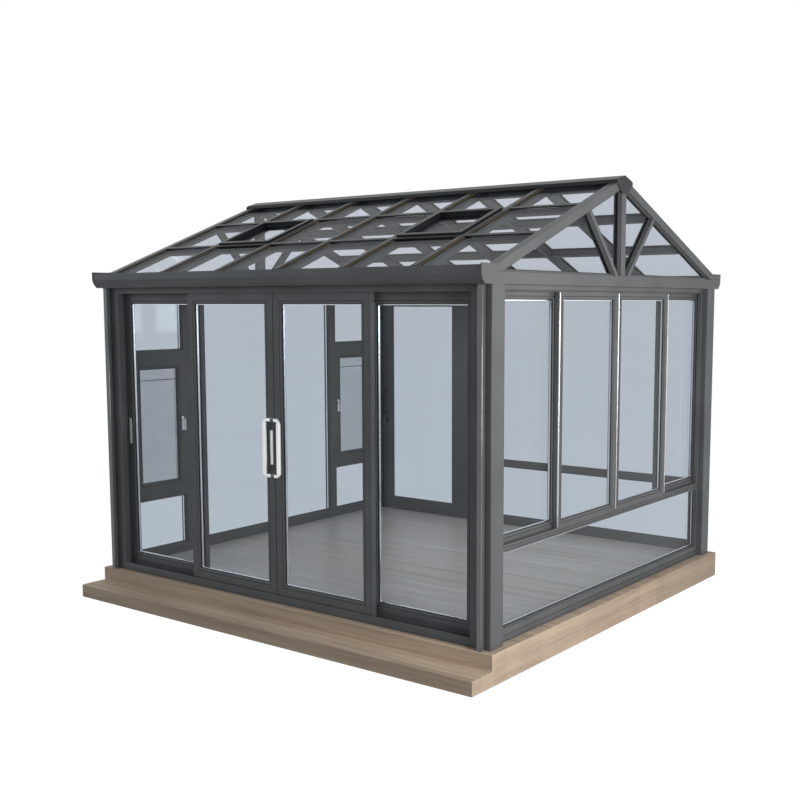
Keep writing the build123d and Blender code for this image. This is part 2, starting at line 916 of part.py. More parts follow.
back_pane = (back_middle - wall_glass / 2, back_middle + wall_glass / 2)
save(
    gather([
        box_part((mullion_right, post_x), back_pane, (base_top, sill_foot)),
        box_part((mullion_right, post_x), back_pane, (sill_rail_top, head_under)),
    ]),
    "back_wall_glass",
)

# The back door: one hinged leaf that opens outwards on three knuckle hinges
leaf_outer = back_face - back_door_setback
leaf_inner = leaf_outer - back_door_depth
back_leaf_foot = threshold_top + back_door_gap
back_leaf_top = head_under - back_door_gap
hinge_x = door_right + back_door_gap / 2
hinge_y = frame_y + hinge_offset
hinge_heights = [deck_top + z for z in hinge_centres]
door_ring, door_pane = glazed_frame(
    (door_left, door_right), (back_leaf_foot, back_leaf_top), (leaf_inner, leaf_outer),
    back_door_stile, back_door_rail, leaf_glass, glass_bite,
)


def knuckle(z_low, z_high, plate_end, plate_range):
    """One knuckle of a hinge, with the plate that fixes it."""
    with BuildPart() as half:
        with Locations((hinge_x, hinge_y, (z_low + z_high) / 2)):
            Cylinder(hinge_radius, z_high - z_low)
        add(box_part(sorted((hinge_x, plate_end)), plate_range, (z_low, z_high)))
    return half.part


with BuildPart() as back_door_frame:
    add(door_ring)
    for z in hinge_heights:
        add(knuckle(z + seat_gap, z + hinge_height / 2, hinge_x - hinge_plate, (leaf_outer, hinge_y)))
save(back_door_frame.part, "back_door_frame")
save(door_pane, "back_door_glass")
fixed_plate = (back_face, back_face + hinge_plate_thickness)
save(
    gather(knuckle(z - hinge_height / 2, z, hinge_x + hinge_plate, fixed_plate) for z in hinge_heights),
    "back_door_hinges",
)

# D-shaped pulls on both faces of the back door
back_pull_x = door_left + back_door_stile / 2
back_pulls = []
for face, side in ((leaf_inner, -1), (leaf_outer, 1)):
    half = back_pull_height / 2
    reach = face + side * back_pull_reach
    with BuildPart() as back_pull:
        with BuildLine() as grip:
            FilletPolyline(
                (back_pull_x, face, lever_z - half),
                (back_pull_x, reach, lever_z - half),
                (back_pull_x, reach, lever_z + half),
                (back_pull_x, face, lever_z + half),
                radius=back_pull_bend,
            )
        grip_plane = Plane(origin=grip.line @ 0, x_dir=(1, 0, 0), z_dir=grip.line % 0)
        with BuildSketch(grip_plane) as grip_section:
            Rectangle(back_pull_width, back_pull_thickness)
            chamfer(grip_section.vertices(), back_pull_chamfer)
        sweep(path=grip.line)
    back_pulls.append(back_pull.part)
save(gather(back_pulls), "back_door_pulls")
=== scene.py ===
"""Finishes, glazing trim and studio for a gable-roofed glass sunroom on a timber deck."""
import json
from math import cos, pi, radians, sin

import bmesh
import bpy
from bpy.props import FloatProperty, FloatVectorProperty, PointerProperty
from mathutils import Matrix, Vector


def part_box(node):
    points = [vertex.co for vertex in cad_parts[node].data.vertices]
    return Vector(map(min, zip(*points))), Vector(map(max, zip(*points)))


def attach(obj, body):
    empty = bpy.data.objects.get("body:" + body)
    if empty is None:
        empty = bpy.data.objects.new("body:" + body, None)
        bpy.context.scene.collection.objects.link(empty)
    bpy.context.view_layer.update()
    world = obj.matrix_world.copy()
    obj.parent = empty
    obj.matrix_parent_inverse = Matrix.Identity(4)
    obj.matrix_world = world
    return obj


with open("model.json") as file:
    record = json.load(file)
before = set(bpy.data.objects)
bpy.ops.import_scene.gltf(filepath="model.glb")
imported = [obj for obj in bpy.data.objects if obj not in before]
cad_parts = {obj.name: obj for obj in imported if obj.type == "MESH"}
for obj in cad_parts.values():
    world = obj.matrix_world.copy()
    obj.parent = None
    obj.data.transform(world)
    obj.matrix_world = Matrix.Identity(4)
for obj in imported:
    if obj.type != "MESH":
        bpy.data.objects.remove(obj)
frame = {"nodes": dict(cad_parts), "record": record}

bl_info = {
    "name": "Glass Sunroom Finish",
    "version": (1, 0, 0),
    "blender": (4, 5, 0),
    "location": "View3D > Sidebar > Sunroom",
    "description": "Coats, glazes and trims a glass sunroom, and sets a plain studio round it",
    "category": "Object",
}

MM = 0.001
# Corners nearer than this are one, and so are faces with less of a turn between them
TOUCHING = 0.01 * MM
SAME_FACE = radians(1)
WHITE = (1, 1, 1, 1)
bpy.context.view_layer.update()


def linear(code):
    """An sRGB hex colour as linear red, green and blue."""
    shares = [int(code[i:i + 2], 16) / 255 for i in (1, 3, 5)]
    return tuple(c / 12.92 if c <= 0.04045 else ((c + 0.055) / 1.055) ** 2.4 for c in shares)


def opaque(colour):
    return (*colour[:3], 1.0)


def scaled(colour, share):
    return tuple(c * share for c in colour)


def halfway(one, other):
    return tuple((a + b) / 2 for a, b in zip(one, other))


def paint(name, description, code):
    """A colour that a user can change, from its sRGB hex default."""
    return FloatVectorProperty(
        name=name, description=description, subtype="COLOR", size=3, min=0, max=1, default=linear(code))


def length(name, description, default, least=MM):
    """A length that a user can change."""
    return FloatProperty(name=name, description=description, unit="LENGTH", default=default, min=least)


class SunroomFinish(bpy.types.PropertyGroup):
    coat: paint("Frame coat", "Powder coat on the aluminium bars", "#585b5d")
    cap_coat: paint("Roof cap coat", "Darker coat of the ridge cap, glazing caps and hatches", "#242628")
    glass: paint("Wall glass tint", "What one face of a wall or door pane lets through", "#e8ebee")
    roof_glass: paint("Roof glass tint", "What one face of a roof or hatch pane lets through", "#edeff2")
    timber_dark: paint("Timber, dark grain", "Late wood of the deck and step", "#9f8b78")
    timber_light: paint("Timber, light grain", "Early wood of the deck and step", "#c7b39d")
    floor_dark: paint("Floor, dark grain", "Brown streaks of the floor boards", "#a99a8c")
    floor_light: paint("Floor, light grain", "Grey streaks of the floor boards", "#dad6d1")
    white_fittings: paint("White fittings", "Door pulls, lock plate and casement levers", "#e9eaea")
    black_fittings: paint("Black fittings", "Pulls and lock of the back door, and the catch", "#131415")
    # The seal colour also paints the shade in the gap round each bead
    seal: paint("Seals", "Rubber glazing seals", "#0e0f10")
    # The spacer colour also gives the bars of painted highlight on the sashes
    spacer: paint("Spacer bars", "Aluminium spacers at the edge of the sealed panes", "#f4f6f8")
    roof_tape: paint("Roof tape", "Butyl tape under the edges of the glazing caps", "#8c7350")
    screen: paint("Fly screens", "Woven screens outside the casements", "#3d4349")


class SunroomSizes(bpy.types.PropertyGroup):
    groove: length("Glazing groove", "How far a framed pane reaches into its frame", 10 * MM, 0)
    bead_width: length("Bead width", "Width of the sloping glazing bead round a pane", 5 * MM)
    seal_width: length("Seal width", "Visible width of a rubber seal on the glass", 5 * MM)
    seal_height: length("Seal height", "How far a seal stands on the glass", 3 * MM)
    spacer_show: length("Spacer edge", "How far a spacer bar shows inside the seal", 5 * MM, 0)
    arris: length("Arris", "Rounding of the bars' edges", 1.5 * MM, 0.1 * MM)
    mitre_line: length("Mitre line", "Width of the joint where two mitred bars meet", 2 * MM, 0.1 * MM)
    # The bead's dark line is painted shade of the gap between frame and bead
    bead_shadow_line: length(
        "Bead joint", "Width of the joint between a frame and its glazing bead", 5 * MM, 0.1 * MM)
    screw_spacing: length(
        "Screw spacing", "Distance between the screws of the glazing caps", 300 * MM, 50 * MM)
    sheet: length("Glass sheet", "Greatest thickness of each sheet of a sealed pane", 5 * MM)


def add_node(tree, kind, inputs=None, **settings):
    """Adds a node with its settings, and fills or links its sockets."""
    node = tree.nodes.new(kind)
    for name, value in settings.items():
        setattr(node, name, value)
    for name, value in (inputs or {}).items():
        if isinstance(value, bpy.types.NodeSocket):
            tree.links.new(value, node.inputs[name])
        else:
            node.inputs[name].default_value = value
    return node


def new_material(name):
    """The empty node tree of a new material."""
    material = bpy.data.materials.new(name)
    material.use_nodes = True
    material.node_tree.nodes.clear()
    return material.node_tree


def show(tree, shader):
    """Puts a shader on the material's surface."""
    add_node(tree, "ShaderNodeOutputMaterial", {"Surface": shader.outputs[0]})


def object_place(tree):
    return add_node(tree, "ShaderNodeTexCoord").outputs["Object"]


def ramp(tree, share, stops):
    """A colour ramp over the given share, from (position, colour) stops."""
    node = add_node(tree, "ShaderNodeValToRGB", {"Fac": share})
    elements = node.color_ramp.elements
    while len(elements) < len(stops):
        elements.new(1.0)
    for element, (position, colour) in zip(elements, stops):
        element.position = position
        element.color = opaque(colour)
    return node.outputs["Color"]


def spread(tree, value, low, high):
    """A noise value, which stays near its middle, spread over a range."""
    node = add_node(tree, "ShaderNodeMapRange", {
        "Value": value, "From Min": 0.3, "From Max": 0.7, "To Min": low, "To Max": high})
    return node.outputs["Result"]


# Powder-coated aluminium: a matt polyester coat baked on extruded bars. The eye gets an even dark
# grey with a soft sheen and a faint orange peel. The fittings have the same coat, made smoother.
def powder_coat(name, colour, roughness, peel=1.0, metallic=0.1, gloss=0.2):
    tree = new_material(name)
    place = object_place(tree)
    # The real peel has a 1 mm grain, too fine to show, so it is drawn at 9 mm and shallow
    grain = add_node(tree, "ShaderNodeTexNoise", {
        "Vector": place, "Scale": 1 / (9 * MM), "Detail": 2.0}).outputs["Fac"]
    # Slow waviness of the extrusion, over about a third of a metre
    wave = add_node(tree, "ShaderNodeTexNoise", {"Vector": place, "Scale": 3.0, "Detail": 1.0})
    tone = ramp(tree, wave.outputs["Fac"], [(0.35, scaled(colour, 0.92)), (0.65, scaled(colour, 1.1))])
    rough = spread(tree, grain, roughness - 0.03, roughness + 0.03)
    bump = add_node(tree, "ShaderNodeBump", {
        "Strength": 0.05 * peel, "Distance": 0.4 * MM, "Height": grain})
    show(tree, add_node(tree, "ShaderNodeBsdfPrincipled", {
        "Base Color": tone, "Roughness": rough, "Normal": bump.outputs["Normal"],
        "IOR": 1.5, "Metallic": metallic, "Specular IOR Level": gloss}))


# The share that a pane of full sheen mirrors head on, and what a full slant adds to it
MIRROR_HEAD_ON, MIRROR_SLANT = 0.035, 0.9
SLANT_POWER = 5.0


# Float glass in sealed panes: flat, clear and faintly blue-grey, with a mirror sheen that grows at a
# slant. Each face lets light straight through, so the tint below is that of one face.
def float_glass(name, tint, sheen):
    tree = new_material(name)
    facing = add_node(tree, "ShaderNodeLayerWeight", {"Blend": 0.5}).outputs["Facing"]
    steep = add_node(tree, "ShaderNodeMath", {0: facing, 1: SLANT_POWER}, operation="POWER").outputs[0]
    mirror = add_node(tree, "ShaderNodeMath", {
        0: steep, 1: MIRROR_SLANT * sheen, 2: MIRROR_HEAD_ON * sheen}, operation="MULTIPLY_ADD")
    clear = add_node(tree, "ShaderNodeBsdfTransparent", {"Color": opaque(tint)})
    gloss = add_node(tree, "ShaderNodeBsdfGlossy", {"Color": WHITE, "Roughness": 0.03})
    show(tree, add_node(tree, "ShaderNodeMixShader", {
        "Fac": mirror.outputs[0], 1: clear.outputs[0], 2: gloss.outputs[0]}))


# How far the grain bends, and the length of a streak's pattern against its width
GRAIN_BEND = (0.03, 0.03, 0.05)
SQUEEZE = 0.03
# Scale of the broad streaks against the fine ones
BROAD = 0.22
# What the fine streaks, the broad streaks and each board's own tone give to the grain
FINE_SHARE, BROAD_SHARE, BOARD_SHARE = 0.5, 0.42, 0.08


# Brushed softwood boards, oiled: long fine streaks of early and late wood with slow bends round
# hidden knots. The grain runs along the front, and along the sides of the ends.
def sawn_timber(name, stops, streak, board, roughness):
    tree = new_material(name)
    source = add_node(tree, "ShaderNodeTexCoord")
    place = source.outputs["Object"]
    normal = add_node(tree, "ShaderNodeSeparateXYZ", {"Vector": source.outputs["Normal"]})
    sideways = add_node(tree, "ShaderNodeMath", {0: normal.outputs["X"]}, operation="ABSOLUTE")
    on_end = add_node(tree, "ShaderNodeMath", {0: sideways.outputs[0], 1: 0.5}, operation="GREATER_THAN")
    # Slow bends of the grain, about 0.7 m long
    bend = add_node(tree, "ShaderNodeTexNoise", {"Vector": place, "Scale": 1.4, "Detail": 2.0})
    shifted = add_node(tree, "ShaderNodeVectorMath", {
        0: bend.outputs["Color"], 1: GRAIN_BEND}, operation="MULTIPLY")
    bent = add_node(tree, "ShaderNodeVectorMath", {0: place, 1: shifted.outputs[0]}, operation="ADD")
    # Streaks are some thirty times as long as they are wide
    squeeze = add_node(tree, "ShaderNodeMix", {
        0: on_end.outputs[0], 4: (SQUEEZE, 1.0, 1.0), 5: (1.0, SQUEEZE, 1.0)}, data_type="VECTOR")
    stretched = add_node(tree, "ShaderNodeVectorMath", {
        0: bent.outputs[0], 1: squeeze.outputs[1]}, operation="MULTIPLY").outputs[0]
    fine = add_node(tree, "ShaderNodeTexNoise", {
        "Vector": stretched, "Scale": 1 / streak, "Detail": 5.0, "Roughness": 0.65}).outputs["Fac"]
    broad = add_node(tree, "ShaderNodeTexNoise", {
        "Vector": stretched, "Scale": BROAD / streak, "Detail": 2.0})
    # Each board has its own share of light wood
    axes = add_node(tree, "ShaderNodeSeparateXYZ", {"Vector": place})
    count = add_node(tree, "ShaderNodeMath", {0: axes.outputs["Y"], 1: board}, operation="DIVIDE")
    whole = add_node(tree, "ShaderNodeMath", {0: count.outputs[0]}, operation="FLOOR")
    chance = add_node(tree, "ShaderNodeTexWhiteNoise", {"W": whole.outputs[0]}, noise_dimensions="1D")
    share = add_node(tree, "ShaderNodeMath", {
        0: fine, 1: FINE_SHARE}, operation="MULTIPLY")
    mixed = add_node(tree, "ShaderNodeMath", {
        0: broad.outputs["Fac"], 1: BROAD_SHARE, 2: share.outputs[0]}, operation="MULTIPLY_ADD")
    total = add_node(tree, "ShaderNodeMath", {
        0: chance.outputs["Value"], 1: BOARD_SHARE, 2: mixed.outputs[0]}, operation="MULTIPLY_ADD")
    tone = ramp(tree, total.outputs[0], stops)
    rough = spread(tree, fine, roughness - 0.08, roughness + 0.08)
    bump = add_node(tree, "ShaderNodeBump", {
        "Strength": 0.25, "Distance": 0.6 * MM, "Height": fine})
    show(tree, add_node(tree, "ShaderNodeBsdfPrincipled", {
        "Base Color": tone, "Roughness": rough, "Normal": bump.outputs["Normal"], "IOR": 1.45}))


# Extruded rubber seal: dull black with a slight chalky bloom in patches of some 40 mm. The roof's
# butyl tape has the same skin in brown.
def rubber(name, colour):
    tree = new_material(name)
    bloom = add_node(tree, "ShaderNodeTexNoise", {
        "Vector": object_place(tree), "Scale": 1 / (40 * MM), "Detail": 3.0})
    tone = ramp(tree, bloom.outputs["Fac"], [(0.4, colour), (0.7, tuple(c + 0.01 for c in colour))])
    show(tree, add_node(tree, "ShaderNodeBsdfPrincipled", {
        "Base Color": tone, "Roughness": 0.7, "IOR": 1.52}))


# Mill-finish aluminium spacer: bright satin metal. Its breather holes, too fine to show, are drawn
# as a faint mottle at 9 mm.
def spacer_metal(name, colour):
    tree = new_material(name)
    holes = add_node(tree, "ShaderNodeTexNoise", {
        "Vector": object_place(tree), "Scale": 1 / (9 * MM), "Detail": 0.0})
    tone = ramp(tree, holes.outputs["Fac"], [(0.4, scaled(colour, 0.9)), (0.6, colour)])
    show(tree, add_node(tree, "ShaderNodeBsdfPrincipled", {
        "Base Color": tone, "Roughness": 0.25, "Metallic": 1.0}))


# Woven glass-fibre fly screen: threads 0.28 mm thick at 1.4 mm spacing, far too fine to show, so the
# weave is drawn as an even veil that holds back a third of the light. Its tension changes over
# some 170 mm.
def fly_screen(name, veil, colour):
    tree = new_material(name)
    slack = add_node(tree, "ShaderNodeTexNoise", {
        "Vector": object_place(tree), "Scale": 6.0, "Detail": 1.0})
    closed = spread(tree, slack.outputs["Fac"], 0.04, 0.07)
    thread = add_node(tree, "ShaderNodeBsdfPrincipled", {"Base Color": opaque(colour), "Roughness": 0.6})
    clear = add_node(tree, "ShaderNodeBsdfTransparent", {"Color": opaque(veil)})
    show(tree, add_node(tree, "ShaderNodeMixShader", {
        "Fac": closed, 1: clear.outputs[0], 2: thread.outputs["BSDF"]}))


# Names of the materials
COAT = "powder_coated_aluminium"
PIPE_COAT = "gloss_coated_pipe"
CAP_COAT = "dark_coated_aluminium"
WHITE_COAT = "white_coated_fittings"
BLACK_COAT = "black_gloss_fittings"
WALL_GLASS = "sealed_pane_glass"
ROOF_GLASS = "laminated_roof_glass"
DECK_TIMBER = "brushed_deck_timber"
FLOOR_TIMBER = "grey_floor_boards"
# Also the dark of the mitre lines and of the painted shade round the beads
RUBBER = "rubber_seal_and_painted_shade"
# Spacer metal, also used for the bars that paint a highlight along the sashes' meeting edges
BRIGHT = "mill_aluminium_spacer_and_highlight"
TAPE = "butyl_glazing_tape"
WEAVE = "woven_fly_screen"
STUDIO_PAINT = "pale_studio_floor"


def coat_nodes(names, material):
    """Gives CAD nodes a material, by its name."""
    for name in names:
        node = frame["nodes"][name]
        node.data.materials.clear()
        node.data.materials.append(bpy.data.materials[material])


def nodes_in_slot(slot):
    """The CAD nodes that the record gives this material slot."""
    return [part["node"] for part in frame["record"]["subparts"] if part["material_slot"] == slot]


def joined_copy(name):
    """A bmesh copy of a CAD node, with its loose triangles joined."""
    mesh = bmesh.new()
    mesh.from_mesh(frame["nodes"][name].data)
    bmesh.ops.remove_doubles(mesh, verts=mesh.verts, dist=TOUCHING)
    return mesh


def solids_of(name):
    """Lowest and highest corner of each separate solid in a CAD node."""
    mesh = joined_copy(name)
    left = set(mesh.verts)
    boxes = []
    while left:
        group = [left.pop()]
        low, high = group[0].co.copy(), group[0].co.copy()
        while group:
            vertex = group.pop()
            low = Vector(map(min, low, vertex.co))
            high = Vector(map(max, high, vertex.co))
            for edge in vertex.link_edges:
                other = edge.other_vert(vertex)
                if other in left:
                    left.remove(other)
                    group.append(other)
        boxes.append((low, high))
    mesh.free()
    return sorted(boxes, key=lambda box: tuple(box[0]))


def pane_faces(name, across):
    """Corners and outward direction of the broad faces of every pane in a CAD node."""
    mesh = joined_copy(name)
    bmesh.ops.dissolve_limit(mesh, angle_limit=SAME_FACE, verts=mesh.verts, edges=mesh.edges)
    faces = [
        ([vertex.co.copy() for vertex in face.verts], face.normal.copy())
        for face in mesh.faces if abs(face.normal[across]) > cos(SAME_FACE)
    ]
    mesh.free()
    return faces


def rectangle(low, high, across, at):
    """Corners of a rectangle that stands square to the axis across, at a place along it."""
    u, v = [axis for axis in range(3) if axis != across]
    corners = []
    for along, up in ((low[u], low[v]), (high[u], low[v]), (high[u], high[v]), (low[u], high[v])):
        corner = Vector((0, 0, 0))
        corner[u], corner[v], corner[across] = along, up, at
        corners.append(corner)
    return corners


# Steps in each quarter of a rounded corner
CORNER_STEPS = 3


def rounded_outline(centre, width, height, radius, across):
    """Corners of a rounded rectangle square to the axis across."""
    u, v = [axis for axis in range(3) if axis != across]
    corners = []
    for quarter, (su, sv) in enumerate(((1, 1), (-1, 1), (-1, -1), (1, -1))):
        for step in range(CORNER_STEPS + 1):
            angle = pi / 2 * (quarter + step / CORNER_STEPS)
            corner = centre.copy()
            corner[u] += su * (width / 2 - radius) + radius * cos(angle)
            corner[v] += sv * (height / 2 - radius) + radius * sin(angle)
            corners.append(corner)
    return corners


def broad_faces(low, high, across):
    """Place and outward direction of the two faces of a box that are square to an axis."""
    for at, sign in ((low[across], -1), (high[across], 1)):
        normal = Vector((0, 0, 0))
        normal[across] = sign
        yield at, normal


def new_face(mesh, corners, normal):
    """A face through the corners that looks along the normal."""
    face = mesh.faces.new([mesh.verts.new(corner) for corner in corners])
    face.normal_update()
    if face.normal.dot(normal) < 0:
        face.normal_flip()
    return face


def lift(mesh, faces, step):
    """Extrudes faces into a closed body, and gives the faces at its far end."""
    grown = bmesh.ops.extrude_face_region(mesh, geom=faces, use_keep_orig=True)["geom"]
    bmesh.ops.translate(mesh, verts=[g for g in grown if isinstance(g, bmesh.types.BMVert)], vec=step)
    ends = [g for g in grown if isinstance(g, bmesh.types.BMFace)]
    for face in ends:
        face.normal_update()
    return ends


def inset_faces(mesh, faces, width, depth=0.0, **settings):
    """Insets faces by an even width, and gives the faces of their rim."""
    return bmesh.ops.inset_region(
        mesh, faces=faces, thickness=width, depth=depth, use_even_offset=True, **settings)["faces"]


def add_band(mesh, corners, normal, margin, width, start, depth, slope=0.0):
    """A band inside an outline, from start to start + depth along the normal.

    margin is its distance in from the outline, and slope how far its face falls towards the middle.
    """
    base = [corner + normal * (start + depth) for corner in corners]
    face = new_face(mesh, base, normal)
    if margin > 0:
        rim = inset_faces(mesh, [face], margin, use_boundary=True)
        bmesh.ops.delete(mesh, geom=rim, context="FACES")
    band = inset_faces(mesh, [face], width, -slope, use_boundary=True)
    bmesh.ops.delete(mesh, geom=[face], context="FACES_ONLY")
    lift(mesh, band, normal * (slope - depth))


def add_plate(mesh, corners, normal, height, chamfer):
    """A plate on an outline, raised along the normal, with a chamfer round its top."""
    face = new_face(mesh, corners, normal)
    top = lift(mesh, [face], normal * (height - chamfer))
    inset_faces(mesh, top, chamfer, chamfer)


def add_strip(mesh, edge, inwards, foot, head, normal, section):
    """An upright strip on a face, from the plan of an upright edge and the direction away from it.

    section is the distance of its near and far sides from the edge, its height and its chamfer.
    """
    near, far, height, chamfer = section
    corners = [
        Vector((edge[0] + inwards[0] * away, edge[1] + inwards[1] * away, z))
        for away, z in ((near, foot), (far, foot), (far, head), (near, head))
    ]
    add_plate(mesh, corners, Vector(normal), height, chamfer)


def add_pin(mesh, start, end, radius, sides, chamfer):
    """A round pin between two points, with a chamfer at its far end."""
    axis = (end - start).normalized()
    turn = axis.to_track_quat("Z", "Y").to_matrix().to_4x4()
    place = Matrix.Translation(start) @ turn
    ring = bmesh.ops.create_circle(mesh, cap_ends=True, radius=radius, segments=sides, matrix=place)
    face = ring["verts"][0].link_faces[0]
    face.normal_update()
    if face.normal.dot(axis) < 0:
        face.normal_flip()
    top = lift(mesh, [face], (end - start) - axis * chamfer)
    inset_faces(mesh, top, chamfer, chamfer)


def new_object(mesh, name, material):
    """Turns a bmesh into an object of one material."""
    data = bpy.data.meshes.new(name)
    mesh.to_mesh(data)
    mesh.free()
    data.materials.append(bpy.data.materials[material])
    made = bpy.data.objects.new(name, data)
    bpy.context.scene.collection.objects.link(made)
    return made


def finish_piece(mesh, name, material=COAT, body="house"):
    """Turns a bmesh into a piece that rides on a body."""
    bmesh.ops.recalc_face_normals(mesh, faces=mesh.faces)
    piece = new_object(mesh, name, material)
    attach(piece, body)


LEAVES = ("leaf_1", "leaf_2", "leaf_3", "leaf_4")
# The frames in the side walls, and the glass of their wall
WALL_FRAMES = (
    ("right_sashes_outer", "right_wall_glass"),
    ("right_sashes_inner", "right_wall_glass"),
    ("left_casements", "left_wall_glass"),
)


def holds(outer, inner):
    """Whether one box lies wholly inside another."""
    return all(outer[0][i] < inner[0][i] and inner[1][i] < outer[1][i] for i in range(3))


def framed_panes():
    """Every wall pane as (name, body, low, high, axis of its thickness, groove)."""
    groove = bpy.context.scene.sunroom_sizes.groove
    panes = [(body, body, *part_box(f"{body}_glass"), 1, groove) for body in (*LEAVES, "back_door")]
    frames = [box for name, glass in WALL_FRAMES for box in solids_of(name)]
    for wall, across in (("right_wall", 0), ("left_wall", 0), ("back_wall", 1)):
        for pane in solids_of(f"{wall}_glass"):
            framed = any(holds(box, pane) for box in frames)
            panes.append((wall, "house", *pane, across, groove if framed else 0.0))
    return panes


CAP_NODES = ("ridge_cap", "glazing_caps_front", "glazing_caps_back", "hatch_frames")
# Edges that turn by more than this are rounded, in so many steps on bars and on fittings
SHARP_TURN = radians(40)
BAR_STEPS = 2
FITTING_STEPS = 3


def round_arrises(names, steps):
    """Joins the loose triangles of CAD nodes and rounds their sharp edges."""
    for name in names:
        piece = frame["nodes"][name]
        weld = piece.modifiers.new("weld", "WELD")
        weld.merge_threshold = TOUCHING
        bevel = piece.modifiers.new("arris", "BEVEL")
        bevel.width = bpy.context.scene.sunroom_sizes.arris
        bevel.segments = steps
        bevel.limit_method = "ANGLE"
        bevel.angle_limit = SHARP_TURN


class SUNROOM_OT_frame(bpy.types.Operator):
    """Coats every aluminium bar"""
    bl_idname = "sunroom.coat_frame"
    bl_label = "Coat the frame"

    def execute(self, context):
        finish = context.scene.sunroom_finish
        slot = "anthracite_frame"
        bars = nodes_in_slot(slot)
        powder_coat(COAT, finish.coat, roughness=0.4)
        powder_coat(PIPE_COAT, finish.coat, roughness=0.2, peel=0.5, gloss=0.8)
        powder_coat(CAP_COAT, finish.cap_coat, roughness=0.4)
        coat_nodes(bars, COAT)
        coat_nodes(("downpipes",), PIPE_COAT)
        coat_nodes(CAP_NODES, CAP_COAT)
        round_arrises(bars, BAR_STEPS)
        return {"FINISHED"}


class SUNROOM_OT_glass(bpy.types.Operator):
    """Glazes the walls, doors, gables, roof and hatches"""
    bl_idname = "sunroom.glaze"
    bl_label = "Glaze"

    def execute(self, context):
        finish = context.scene.sunroom_finish
        float_glass(WALL_GLASS, finish.glass, sheen=0.4)
        float_glass(ROOF_GLASS, finish.roof_glass, sheen=0.2)
        coat_nodes(nodes_in_slot("wall_glass"), WALL_GLASS)
        coat_nodes(nodes_in_slot("roof_glass"), ROOF_GLASS)
        # The gables have the walls' sealed panes, though the record lists them with the roof
        coat_nodes(("gable_glass",), WALL_GLASS)
        return {"FINISHED"}


# Widths of the grain's streaks and of the boards
DECK_STREAK, DECK_BOARD = 16 * MM, 145 * MM
FLOOR_STREAK, FLOOR_BOARD = 12 * MM, 190 * MM
# What turns the floor's grey to its dull blue middle tone
BLUISH = (0.66, 0.68, 0.72)


class SUNROOM_OT_timber(bpy.types.Operator):
    """Finishes the deck, the step and the floor boards"""
    bl_idname = "sunroom.timber"
    bl_label = "Finish the timber"

    def execute(self, context):
        finish = context.scene.sunroom_finish
        dark, light = finish.timber_dark, finish.timber_light
        stops = [(0.36, dark), (0.5, halfway(dark, light)), (0.64, light)]
        sawn_timber(DECK_TIMBER, stops, DECK_STREAK, DECK_BOARD, roughness=0.6)
        coat_nodes(nodes_in_slot("deck_timber"), DECK_TIMBER)
        brown, grey = finish.floor_dark, finish.floor_light
        blue = tuple(c * share for c, share in zip(grey, BLUISH))
        stops = [(0.36, brown), (0.46, halfway(brown, grey)), (0.52, blue), (0.58, halfway(blue, grey)),
                 (0.68, grey)]
        sawn_timber(FLOOR_TIMBER, stops, FLOOR_STREAK, FLOOR_BOARD, roughness=0.38)
        coat_nodes(nodes_in_slot("floor_boards"), FLOOR_TIMBER)
        return {"FINISHED"}


class SUNROOM_OT_fittings(bpy.types.Operator):
    """Finishes the pulls and levers"""
    bl_idname = "sunroom.fittings"
    bl_label = "Finish the fittings"

    def execute(self, context):
        finish = context.scene.sunroom_finish
        white, black = finish.white_fittings, finish.black_fittings
        powder_coat(WHITE_COAT, white, roughness=0.35, peel=0.5, metallic=0.65, gloss=0.5)
        powder_coat(BLACK_COAT, black, roughness=0.15, peel=0.3, gloss=0.5)
        for slot, material in (("white_handles", WHITE_COAT), ("black_handles", BLACK_COAT)):
            coat_nodes(nodes_in_slot(slot), material)
            round_arrises(nodes_in_slot(slot), FITTING_STEPS)
        return {"FINISHED"}


# The moulded grip along each bow: its reach from the meeting line, its section, length and middle,
# the rounding of its edges and ends, and how far it sinks into the bow
GRIP_OUTER = 87.5 * MM
GRIP_WIDTH, GRIP_DEPTH, GRIP_LENGTH = 34 * MM, 22 * MM, 372 * MM
GRIP_MIDDLE = 1.35
GRIP_CORNER, GRIP_END, GRIP_SINK = 8 * MM, 7 * MM, 1 * MM


class SUNROOM_OT_grips(bpy.types.Operator):
    """Makes the rounded grips along the bows of the two door pulls"""
    bl_idname = "sunroom.grips"
    bl_label = "Make the grips"

    def execute(self, context):
        for name, turn in (("leaf_2", -1), ("leaf_3", 1)):
            bow_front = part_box(f"{name}_pull")[0].y
            foot = Vector((turn * (GRIP_OUTER - GRIP_WIDTH / 2), bow_front + GRIP_DEPTH / 2 - GRIP_SINK,
                           GRIP_MIDDLE - GRIP_LENGTH / 2))
            mesh = bmesh.new()
            outline = rounded_outline(foot, GRIP_WIDTH, GRIP_DEPTH, GRIP_CORNER, 2)
            add_plate(mesh, outline, Vector((0, 0, 1)), GRIP_LENGTH, GRIP_END)
            low_end = [face for face in mesh.faces if face.calc_center_median().z < foot.z + TOUCHING]
            inset_faces(mesh, low_end, GRIP_END)
            finish_piece(mesh, f"{name}_grip", WHITE_COAT, name)
        return {"FINISHED"}


# A glazing bead's height on the glass, and how far it falls towards the pane
BEAD_HEIGHT, BEAD_SLOPE = 6 * MM, 3 * MM
SPACER_WIDTH = 7 * MM
# A sheet of glass takes up at most this share of its pane's thickness
SHEET_SHARE = 1 / 6


